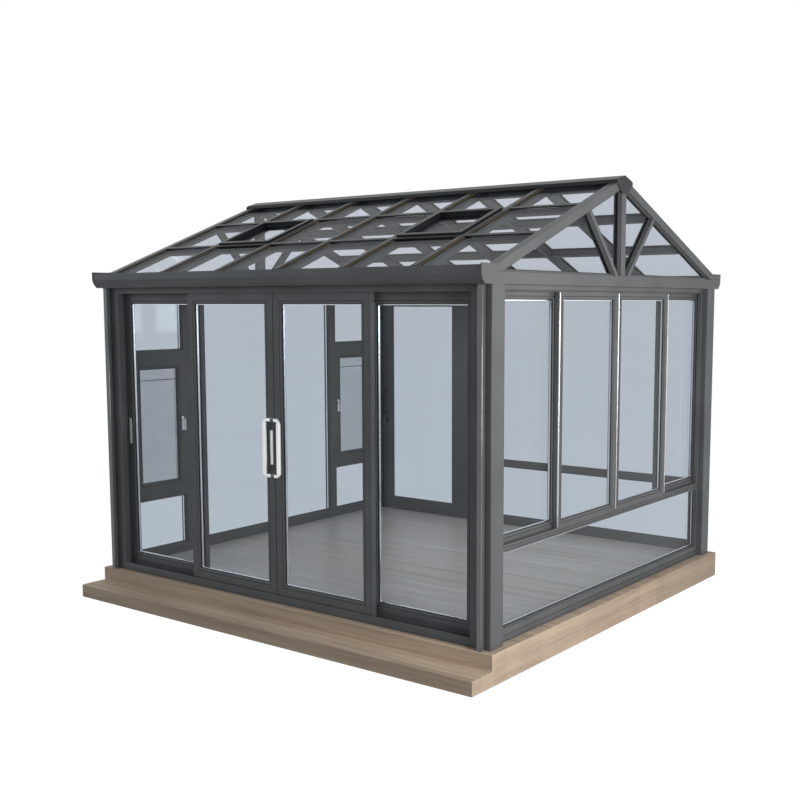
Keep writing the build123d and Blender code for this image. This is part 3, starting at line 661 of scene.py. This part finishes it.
class SUNROOM_OT_seals(bpy.types.Operator):
    """Makes the sloping beads, the rubber seals and the spacer bars of the wall and door panes"""
    bl_idname = "sunroom.seals"
    bl_label = "Bead and seal the panes"

    def execute(self, context):
        finish = context.scene.sunroom_finish
        sizes = context.scene.sunroom_sizes
        rubber(RUBBER, finish.seal)
        spacer_metal(BRIGHT, finish.spacer)
        trims = {}
        for name, body, low, high, across, groove in framed_panes():
            if name not in trims:
                trims[name] = body, bmesh.new(), bmesh.new(), bmesh.new()
            bead, seal, spacer = trims[name][1:]
            seal_start = groove + sizes.bead_width
            for at, normal in broad_faces(low, high, across):
                corners = rectangle(low, high, across, at)
                add_band(bead, corners, normal, groove, sizes.bead_width, 0, BEAD_HEIGHT, BEAD_SLOPE)
                add_band(seal, corners, normal, seal_start, sizes.seal_width, 0, sizes.seal_height)
            thickness = high[across] - low[across]
            sheet = min(sizes.sheet, thickness * SHEET_SHARE)
            spacer_start = seal_start + sizes.seal_width - SPACER_WIDTH + sizes.spacer_show
            add_band(spacer, corners, -normal, spacer_start, SPACER_WIDTH, sheet, thickness - 2 * sheet)
        for name, (body, bead, seal, spacer) in trims.items():
            finish_piece(bead, f"{name}_beads", body=body)
            finish_piece(seal, f"{name}_seals", RUBBER, body)
            finish_piece(spacer, f"{name}_spacers", BRIGHT, body)
        return {"FINISHED"}


# The stepped bars round a gable pane and the seal inside them, as (margin, width, start, depth, slope)
GABLE_OUTER_STEP = (0, 7 * MM, 0, 17 * MM, 2 * MM)
GABLE_INNER_STEP = (7 * MM, 6 * MM, 0, 8 * MM, 1 * MM)
GABLE_SEAL = (13 * MM, 4 * MM, 0, 3 * MM, 0)


class SUNROOM_OT_gables(bpy.types.Operator):
    """Makes the stepped glazing bars and seals round the gable panes"""
    bl_idname = "sunroom.gables"
    bl_label = "Glaze the gables"

    def execute(self, context):
        steps, seals = bmesh.new(), bmesh.new()
        for corners, normal in pane_faces("gable_glass", 0):
            for section in (GABLE_OUTER_STEP, GABLE_INNER_STEP):
                add_band(steps, corners, normal, *section)
            add_band(seals, corners, normal, *GABLE_SEAL)
        finish_piece(steps, "gable_glazing_bars")
        finish_piece(seals, "gable_seals", RUBBER)
        return {"FINISHED"}


# Dark mitre lines and the painted shade round beads stand this far on the bars; mitre lines get a
# chamfer
DARK_LINE_RISE = 0.4 * MM
JOINT_CHAMFER = 0.15 * MM
# Distance from a frame's opening to the band of painted shade in the gap round its bead
BEAD_SHADOW_LINE = 16 * MM


def add_joints_and_painted_shade(mesh, low, high, pane, across, sizes):
    """Dark lines where a mitred frame's bars meet, and painted shade in the gap where its bead is
    clipped in.
    """
    groove, width = sizes.groove, sizes.mitre_line
    pane_low, pane_high = pane
    inset = Vector((groove,) * 3)
    outset = Vector((BEAD_SHADOW_LINE - groove,) * 3)
    for at, normal in broad_faces(low, high, across):
        outer = rectangle(low, high, across, at)
        inner = rectangle(pane_low + inset, pane_high - inset, across, at)
        for start, end in zip(outer, inner):
            along = (end - start).normalized()
            side = along.cross(normal) * width / 2
            near, far = start + along * width, end - along * width
            line = [near - side, near + side, far + side, far - side]
            add_plate(mesh, line, normal, DARK_LINE_RISE, JOINT_CHAMFER)
        # A band of painted shade in the gap between the frame and its bead
        around = rectangle(pane_low - outset, pane_high + outset, across, at)
        add_band(mesh, around, normal, 0, sizes.bead_shadow_line, 0, DARK_LINE_RISE)


class SUNROOM_OT_mitres(bpy.types.Operator):
    """Draws the mitre joints of the leaves, sashes and casements, and painted shade in the gaps round
    their beads
    """
    bl_idname = "sunroom.mitres"
    bl_label = "Joint the mitres"

    def execute(self, context):
        frames = {}
        for name in LEAVES:
            low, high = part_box(f"{name}_frame")
            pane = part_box(f"{name}_glass")
            # The rollers hang below the leaf, so its foot is found from its pane, as its top is
            low.z = pane[0].z - (high.z - pane[1].z)
            frames[name] = [(low, high, pane, 1)]
        for name, glass in WALL_FRAMES:
            boxes, panes = solids_of(name), solids_of(glass)
            frames[name] = [(*box, pane, 0) for box in boxes for pane in panes if holds(box, pane)]
        for name, found in frames.items():
            mesh = bmesh.new()
            for low, high, pane, across in found:
                add_joints_and_painted_shade(mesh, low, high, pane, across, context.scene.sunroom_sizes)
            # Mitre lines and the painted shade round the beads, in seal black
            finish_piece(mesh, f"{name}_mitres", RUBBER, name if name in LEAVES else "house")
        return {"FINISHED"}


# Sections of the strips, as (near side, far side, height on the face, chamfer)
INTERLOCK = (2 * MM, 12 * MM, 1.8 * MM, 0.8 * MM)
LEAF_BRUSH = (8 * MM, 14 * MM, 7 * MM, 1 * MM)
SASH_BRUSH = (8 * MM, 13 * MM, 5.5 * MM, 1 * MM)
# A bright bar that paints the highlight along a sash's meeting edge
PAINTED_HIGHLIGHT_BAR = (0, 4 * MM, 9 * MM, 0.5 * MM)
# Distances of the leaves' strips from foot and head, and of the bars of painted highlight from the
# sashes' edges
STRIP_FOOT, STRIP_HEAD = 60 * MM, 40 * MM
PAINTED_HIGHLIGHT_BAR_SIDE, PAINTED_HIGHLIGHT_BAR_END = 2 * MM, 8 * MM


class SUNROOM_OT_interlocks(bpy.types.Operator):
    """Makes the interlocks and brushes where leaves and sashes overlap, and painted highlight bars on
    the sashes
    """
    bl_idname = "sunroom.interlocks"
    bl_label = "Fit the interlocks"

    def execute(self, context):
        # Leaves 2 and 3 run in front, and overlap leaves 1 and 4 by one stile
        for name, side, inwards in (("leaf_2", 0, (1, 0)), ("leaf_3", 1, (-1, 0))):
            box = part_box(f"{name}_frame")
            foot, head = box[0].z + STRIP_FOOT, box[1].z - STRIP_HEAD
            strip, brush = bmesh.new(), bmesh.new()
            add_strip(strip, (box[side].x, box[0].y), inwards, foot, head, (0, -1, 0), INTERLOCK)
            add_strip(brush, (box[side].x, box[1].y), inwards, foot, head, (0, 1, 0), LEAF_BRUSH)
            finish_piece(strip, f"{name}_interlock", body=name)
            finish_piece(brush, f"{name}_brush", RUBBER, name)
        brush, bars = bmesh.new(), bmesh.new()
        front, back = sorted(solids_of("right_sashes_outer"), key=lambda box: box[0].y)
        for (low, high), y, turn in ((front, front[0].y, 1), (back, back[1].y, -1)):
            add_strip(brush, (low.x, y), (0, turn), low.z, high.z, (-1, 0, 0), SASH_BRUSH)
        finish_piece(brush, "right_sash_brushes", RUBBER)
        # Bright bars on the outer sashes, at each place where two sashes meet, are a painted highlight
        # along those edges
        for (low, high), y in ((front, front[0].y + PAINTED_HIGHLIGHT_BAR_SIDE), (back, back[0].y + PAINTED_HIGHLIGHT_BAR_SIDE),
                               (back, back[1].y - PAINTED_HIGHLIGHT_BAR_SIDE - PAINTED_HIGHLIGHT_BAR[1])):
            foot, head = low.z + PAINTED_HIGHLIGHT_BAR_END, high.z - PAINTED_HIGHLIGHT_BAR_END
            add_strip(bars, (high.x, y), (0, 1), foot, head, (1, 0, 0), PAINTED_HIGHLIGHT_BAR)
        finish_piece(bars, "right_sash_painted_highlight_bars", BRIGHT)
        return {"FINISHED"}


# The fly screens' distance outside the panes, thickness and chamfer
SCREEN_AWAY, SCREEN_THICKNESS, SCREEN_CHAMFER = 9 * MM, 0.6 * MM, 0.1 * MM
# Their middle bar's level, half its height, its distance outside the panes, thickness and chamfer
SCREEN_BAR_LEVEL, SCREEN_BAR_HALF = 1.734, 3 * MM
SCREEN_BAR_AWAY, SCREEN_BAR_THICKNESS, SCREEN_BAR_CHAMFER = 10 * MM, 4 * MM, 1 * MM
# What each face of a fly screen lets through
SCREEN_VEIL = (0.83, 0.835, 0.84)


class SUNROOM_OT_screens(bpy.types.Operator):
    """Hangs the fly screens outside the casements"""
    bl_idname = "sunroom.screens"
    bl_label = "Hang the fly screens"

    def execute(self, context):
        groove = context.scene.sunroom_sizes.groove
        weave, bars = bmesh.new(), bmesh.new()
        outward = Vector((-1, 0, 0))
        inset = Vector((0, groove, groove))
        for name, body, low, high, across, depth in framed_panes():
            if name == "left_wall" and depth:
                low, high = low + inset, high - inset
                face = rectangle(low, high, across, low.x - SCREEN_AWAY)
                add_plate(weave, face, outward, SCREEN_THICKNESS, SCREEN_CHAMFER)
                low.z, high.z = SCREEN_BAR_LEVEL - SCREEN_BAR_HALF, SCREEN_BAR_LEVEL + SCREEN_BAR_HALF
                face = rectangle(low, high, across, low.x - SCREEN_BAR_AWAY)
                add_plate(bars, face, outward, SCREEN_BAR_THICKNESS, SCREEN_BAR_CHAMFER)
        fly_screen(WEAVE, SCREEN_VEIL, context.scene.sunroom_finish.screen)
        finish_piece(weave, "fly_screens", WEAVE)
        finish_piece(bars, "fly_screen_bars")
        return {"FINISHED"}


# The roof's outer face: its pitch, and the height and setback of the eave line
ROOF_PITCH = radians(21.7)
EAVE_SETBACK = 1.655
EAVE_HEIGHT = 2.63


def on_slope(side, x, up, out):
    """A point on the roof, from its place along the ridge, up the slope and out of it."""
    y = EAVE_SETBACK - up * cos(ROOF_PITCH) + out * sin(ROOF_PITCH)
    return Vector((x, side * y, EAVE_HEIGHT + up * sin(ROOF_PITCH) + out * cos(ROOF_PITCH)))


def up_slope(z, out=0.0):
    """How far up the slope a point lies, from its height and its distance out of the roof."""
    return (z - EAVE_HEIGHT - out * cos(ROOF_PITCH)) / sin(ROOF_PITCH)


def slope_normal(side):
    return Vector((0, side * sin(ROOF_PITCH), cos(ROOF_PITCH)))


def slope_rectangle(side, x_range, up_range, out):
    """Corners of a rectangle that lies on the slope."""
    (a, b), (c, d) = x_range, up_range
    return [on_slope(side, x, up, out) for x, up in ((a, c), (b, c), (b, d), (a, d))]


# How far the roof's panes lie below the tops of its caps
CAP_HEIGHT = 11 * MM
TAPE_WIDTH, TAPE_HEIGHT, TAPE_CHAMFER = 5 * MM, 4 * MM, 1 * MM
VERGE_WIDTH = 66 * MM
# Caps that rise more than this run up the slope, and the others along it
LONG_CAP_RISE = 0.3
# The first screw's distance from a long cap's foot, the last one's least distance from its head, and
# how far above the middle of a cross cap its screws sit
SCREW_FOOT, SCREW_HEAD, SCREW_LIFT = 90 * MM, 160 * MM, 2 * MM
SCREW_SINK, SCREW_RISE = 1 * MM, 2.2 * MM
# A screw's head, as (radius, sides, chamfer)
SCREW = (4.5 * MM, 10, 1.2 * MM)


class SUNROOM_OT_roof(bpy.types.Operator):
    """Makes the tapes and screws of the glazing caps"""
    bl_idname = "sunroom.roof"
    bl_label = "Trim the roof"

    def execute(self, context):
        spacing = context.scene.sunroom_sizes.screw_spacing
        tapes, screws = bmesh.new(), bmesh.new()
        for side, end in ((-1, "front"), (1, "back")):
            strips = []
            for low, high in solids_of(f"glazing_caps_{end}"):
                foot, head = up_slope(low.z), up_slope(high.z)
                middle, reach = (low.x + high.x) / 2, (high.x - low.x) / 4
                if high.z - low.z > LONG_CAP_RISE:
                    strips += [(low.x, low.x - TAPE_WIDTH, head), (high.x, high.x + TAPE_WIDTH, head)]
                    number = int((head - SCREW_FOOT - SCREW_HEAD) / spacing) + 1
                    places = [(middle, SCREW_FOOT + step * spacing) for step in range(number)]
                else:
                    level = (foot + head) / 2 + SCREW_LIFT
                    places = [(middle - reach, level), (middle + reach, level)]
                for x, up in places:
                    ends = [on_slope(side, x, up, out) for out in (-SCREW_SINK, SCREW_RISE)]
                    add_pin(screws, *ends, *SCREW)
            # The tapes along the verges end with the last cap, which is a cross cap
            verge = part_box("verge_rafters")[1].x - VERGE_WIDTH
            strips += [(turn * verge, turn * (verge - TAPE_WIDTH), head) for turn in (-1, 1)]
            for near, far, top in strips:
                face = slope_rectangle(side, (near, far), (0, top), -CAP_HEIGHT)
                add_plate(tapes, face, slope_normal(side), TAPE_HEIGHT, TAPE_CHAMFER)
        rubber(TAPE, context.scene.sunroom_finish.roof_tape)
        finish_piece(tapes, "roof_tapes", TAPE)
        finish_piece(screws, "cap_screws")
        return {"FINISHED"}


# How far a hatch stands over the roof's outer face, and its pane's two faces lie below it
HATCH_RISE = 14 * MM
HATCH_PANE_TOP, HATCH_PANE_LOW = 21 * MM, 33 * MM
# Half a hinge plate's width, its foot and top above the hatch, thickness and chamfer
HINGE_HALF, HINGE_FOOT, HINGE_TOP = 30 * MM, 1 * MM, 26 * MM
HINGE_THICKNESS, HINGE_CHAMFER = 3 * MM, 1 * MM
# Half a hinge pin's length and its place up and out from the hatch's head, and its section as a pin
PIN_HALF, PIN_UP, PIN_OUT = 32 * MM, 7 * MM, 8 * MM
HINGE_PIN = (5.5 * MM, 14, 1 * MM)
# The seal inside a hatch, as a band like those of the gables
HATCH_SEAL = (0, 7 * MM, 0, 4 * MM, 1 * MM)


class SUNROOM_OT_hatches(bpy.types.Operator):
    """Makes the hinges and the inner seals of the roof hatches"""
    bl_idname = "sunroom.hatches"
    bl_label = "Hang the hatches"

    def execute(self, context):
        outward = slope_normal(-1)
        hinges, seals = bmesh.new(), bmesh.new()
        for low, high in solids_of("hatch_frames"):
            head = up_slope(high.z, HATCH_RISE)
            middle, reach = (low.x + high.x) / 2, (high.x - low.x) / 4
            for x in (middle - reach, middle + reach):
                plate = slope_rectangle(
                    -1, (x - HINGE_HALF, x + HINGE_HALF), (head + HINGE_FOOT, head + HINGE_TOP), 0)
                add_plate(hinges, plate, outward, HINGE_THICKNESS, HINGE_CHAMFER)
                ends = [on_slope(-1, x + turn * PIN_HALF, head + PIN_UP, PIN_OUT) for turn in (-1, 1)]
                add_pin(hinges, *ends, *HINGE_PIN)
        for low, high in solids_of("hatch_glass"):
            foot, head = up_slope(low.z, -HATCH_PANE_LOW), up_slope(high.z, -HATCH_PANE_TOP)
            face = slope_rectangle(-1, (low.x, high.x), (foot, head), -HATCH_PANE_TOP)
            add_band(seals, face, outward, *HATCH_SEAL)
        finish_piece(hinges, "hatch_hinges")
        finish_piece(seals, "hatch_seals", RUBBER)
        return {"FINISHED"}


# Plates as (width, height, corner radius)
LOCK_PLATE = (30 * MM, 64 * MM, 12 * MM)
CATCH_PLATE = (16 * MM, 44 * MM, 5 * MM)
STAND_OFF_PLATE = (26 * MM, 40 * MM, 6 * MM)
# The lock's drop below the pull, and its plate's thickness and chamfer
LOCK_DROP, LOCK_THICKNESS, LOCK_CHAMFER = 70 * MM, 5 * MM, 2 * MM
# Where the lock's cylinder starts and ends on the door, and its section as a pin
CYLINDER_START, CYLINDER_END = 4 * MM, 8 * MM
CYLINDER = (8.5 * MM, 20, 1 * MM)
BACK_DOOR_DEPTH = 54 * MM
# The catch's distance from the leaf's outer edge and its level, and those of the stand-offs
CATCH_INSET, CATCH_LEVEL = 37.5 * MM, 1.4185
CATCH_THICKNESS, CATCH_CHAMFER = 3 * MM, 1 * MM
STAND_OFF_LEVELS = (0.6, 1.4, 2.2)
STAND_OFF_DEPTH, STAND_OFF_CHAMFER = 6 * MM, 0.5 * MM


class SUNROOM_OT_locks(bpy.types.Operator):
    """Makes the back door's lock, the catch of leaf 4 and the stand-offs of the downpipes"""
    bl_idname = "sunroom.locks"
    bl_label = "Fit the locks and stand-offs"

    def execute(self, context):
        lock = bmesh.new()
        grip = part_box("back_door_pulls")
        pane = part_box("back_door_glass")
        x, middle = (grip[0].x + grip[1].x) / 2, (pane[0].y + pane[1].y) / 2
        for sign in (-1, 1):
            at = Vector((x, middle + sign * BACK_DOOR_DEPTH / 2, grip[0].z - LOCK_DROP))
            outward = Vector((0, sign, 0))
            add_plate(lock, rounded_outline(at, *LOCK_PLATE, 1), outward, LOCK_THICKNESS, LOCK_CHAMFER)
            add_pin(lock, at + outward * CYLINDER_START, at + outward * CYLINDER_END, *CYLINDER)
        finish_piece(lock, "back_door_lock", BLACK_COAT, "back_door")

        catch = bmesh.new()
        low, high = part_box("leaf_4_frame")
        outline = rounded_outline(Vector((high.x - CATCH_INSET, low.y, CATCH_LEVEL)), *CATCH_PLATE, 1)
        add_plate(catch, outline, Vector((0, -1, 0)), CATCH_THICKNESS, CATCH_CHAMFER)
        finish_piece(catch, "leaf_4_catch", BLACK_COAT, "leaf_4")

        stands = bmesh.new()
        for low, high in solids_of("downpipes"):
            for level in STAND_OFF_LEVELS:
                at = Vector(((low.x + high.x) / 2, high.y, level))
                outline = rounded_outline(at, *STAND_OFF_PLATE, 1)
                add_plate(stands, outline, Vector((0, 1, 0)), STAND_OFF_DEPTH, STAND_OFF_CHAMFER)
        finish_piece(stands, "downpipe_stand_offs")
        return {"FINISHED"}


# The camera stands where the photograph was taken from, in metres from the deck's middle
CAMERA_PLACE = (5.617, -7.271, 2.3945)
CAMERA_YAW = 0.6363
CAMERA_PITCH = -0.1107
CAMERA_LENS = 49.23
CAMERA_SHIFT = (-0.0522, 0.0295)
CAMERA_REACH = 200

FLOOR_HALF = 30.0
FLOOR_GLOW = 0.925
FLOOR_GREY = (0.3, 0.3, 0.3, 1)
DAYLIGHT = (0.93, 0.99, 1.05, 1)
DAYLIGHT_STRENGTH = 0.26
# Lamps as (name, place, target, size, power, colour, mirrored). No mirror shows the one in the room.
LAMPS = (
    ("key_lamp", (5.9, -2.6, 2.2), (1.9, -0.4, 1.2), 2.0, 218, (1.0, 0.98, 0.95), True),
    ("rim_lamp", (8.3, 6.7, 2.6), (1.9, -1.0, 1.4), 1.6, 80, (1.0, 1.0, 1.0), True),
    ("fill_lamp", (-6.0, -6.0, 4.6), (-0.6, -0.8, 1.2), 3.0, 82, (0.88, 0.96, 1.0), True),
    ("room_lamp", (0.35, 0.1, 2.45), (0.35, 0.1, 0.0), 2.4, 32, (1.0, 0.96, 0.9), False),
)


def show_white(tree):
    """1 for rays from the eye, also by way of mirrors and lenses, and 0 for those that only light."""
    rays = add_node(tree, "ShaderNodeLightPath").outputs
    eye = add_node(tree, "ShaderNodeMath", {
        0: rays["Is Camera Ray"], 1: rays["Is Glossy Ray"]}, operation="ADD")
    both = add_node(tree, "ShaderNodeMath", {
        0: eye.outputs[0], 1: rays["Is Transmission Ray"]}, operation="ADD", use_clamp=True)
    return both.outputs[0]


# Matt painted studio floor, without grain: the eye gets plain white, and the part's shadow on it
def studio_paint(name):
    tree = new_material(name)
    glow = add_node(tree, "ShaderNodeEmission", {"Color": WHITE, "Strength": FLOOR_GLOW})
    dark = add_node(tree, "ShaderNodeEmission", {"Strength": 0.0})
    seen = add_node(tree, "ShaderNodeMixShader", {
        "Fac": show_white(tree), 1: dark.outputs[0], 2: glow.outputs[0]})
    matt = add_node(tree, "ShaderNodeBsdfDiffuse", {"Color": FLOOR_GREY})
    show(tree, add_node(tree, "ShaderNodeAddShader", {0: seen.outputs[0], 1: matt.outputs[0]}))


def add_floor():
    """A wide flat floor."""
    studio_paint(STUDIO_PAINT)
    mesh = bmesh.new()
    bmesh.ops.create_grid(mesh, x_segments=1, y_segments=1, size=FLOOR_HALF)
    floor = new_object(mesh, "studio_floor", STUDIO_PAINT)


def add_daylight(scene):
    """A soft even sky that shows white to the eye."""
    world = bpy.data.worlds.new("soft_studio")
    scene.world = world
    world.use_nodes = True
    tree = world.node_tree
    tree.nodes.clear()
    light = add_node(tree, "ShaderNodeBackground", {"Color": DAYLIGHT, "Strength": DAYLIGHT_STRENGTH})
    sight = add_node(tree, "ShaderNodeBackground", {"Color": WHITE, "Strength": 1.0})
    sky = add_node(tree, "ShaderNodeMixShader", {
        "Fac": show_white(tree), 1: light.outputs[0], 2: sight.outputs[0]})
    add_node(tree, "ShaderNodeOutputWorld", {"Surface": sky.outputs[0]})


def add_lamp(scene, name, place, target, size, power, colour, mirrored):
    """A soft square lamp that looks at its target. The eye doesn't see it, but mirrors may."""
    lamp = bpy.data.lights.new(name, "AREA")
    lamp.shape = "SQUARE"
    lamp.size = size
    lamp.energy = power
    lamp.color = colour
    holder = bpy.data.objects.new(name, lamp)
    scene.collection.objects.link(holder)
    holder.location = place
    holder.rotation_euler = (Vector(target) - Vector(place)).to_track_quat("-Z", "Y").to_euler()
    holder.visible_camera = False
    holder.visible_glossy = mirrored


def add_camera(scene):
    """The camera at the photograph's viewing angle."""
    camera = bpy.data.objects.new("camera", bpy.data.cameras.new("camera"))
    scene.collection.objects.link(camera)
    camera.location = CAMERA_PLACE
    camera.rotation_euler = (pi / 2 + CAMERA_PITCH, 0, CAMERA_YAW)
    camera.data.lens = CAMERA_LENS
    camera.data.shift_x, camera.data.shift_y = CAMERA_SHIFT
    camera.data.clip_end = CAMERA_REACH
    scene.camera = camera


class SUNROOM_OT_stage(bpy.types.Operator):
    """Lays a pale floor, sets the soft lamps and places the camera"""
    bl_idname = "sunroom.stage"
    bl_label = "Set the stage"

    def execute(self, context):
        add_floor()
        add_daylight(context.scene)
        for lamp in LAMPS:
            add_lamp(context.scene, *lamp)
        add_camera(context.scene)
        context.scene.view_settings.view_transform = "Standard"
        return {"FINISHED"}


STEPS = (
    SUNROOM_OT_frame, SUNROOM_OT_glass, SUNROOM_OT_timber, SUNROOM_OT_fittings, SUNROOM_OT_grips,
    SUNROOM_OT_seals, SUNROOM_OT_gables, SUNROOM_OT_mitres, SUNROOM_OT_interlocks, SUNROOM_OT_screens,
    SUNROOM_OT_roof, SUNROOM_OT_hatches, SUNROOM_OT_locks, SUNROOM_OT_stage,
)


class SUNROOM_PT_panel(bpy.types.Panel):
    """Lists the colours, the sizes and the steps"""
    bl_label = "Glass Sunroom"
    bl_idname = "SUNROOM_PT_panel"
    bl_space_type = "VIEW_3D"
    bl_region_type = "UI"
    bl_category = "Sunroom"

    def draw(self, context):
        layout = self.layout
        for group in (context.scene.sunroom_finish, context.scene.sunroom_sizes):
            for name in group.__annotations__:
                layout.prop(group, name)
        for step in STEPS:
            layout.operator(step.bl_idname)


CLASSES = (SunroomFinish, SunroomSizes, *STEPS, SUNROOM_PT_panel)


def register():
    for cls in CLASSES:
        bpy.utils.register_class(cls)
    bpy.types.Scene.sunroom_finish = PointerProperty(type=SunroomFinish)
    bpy.types.Scene.sunroom_sizes = PointerProperty(type=SunroomSizes)


def unregister():
    del bpy.types.Scene.sunroom_sizes
    del bpy.types.Scene.sunroom_finish
    for cls in reversed(CLASSES):
        bpy.utils.unregister_class(cls)


def main():
    register()
    for step in STEPS:
        group, name = step.bl_idname.split(".")
        getattr(getattr(bpy.ops, group), name)()


if __name__ == "__main__":
    main()
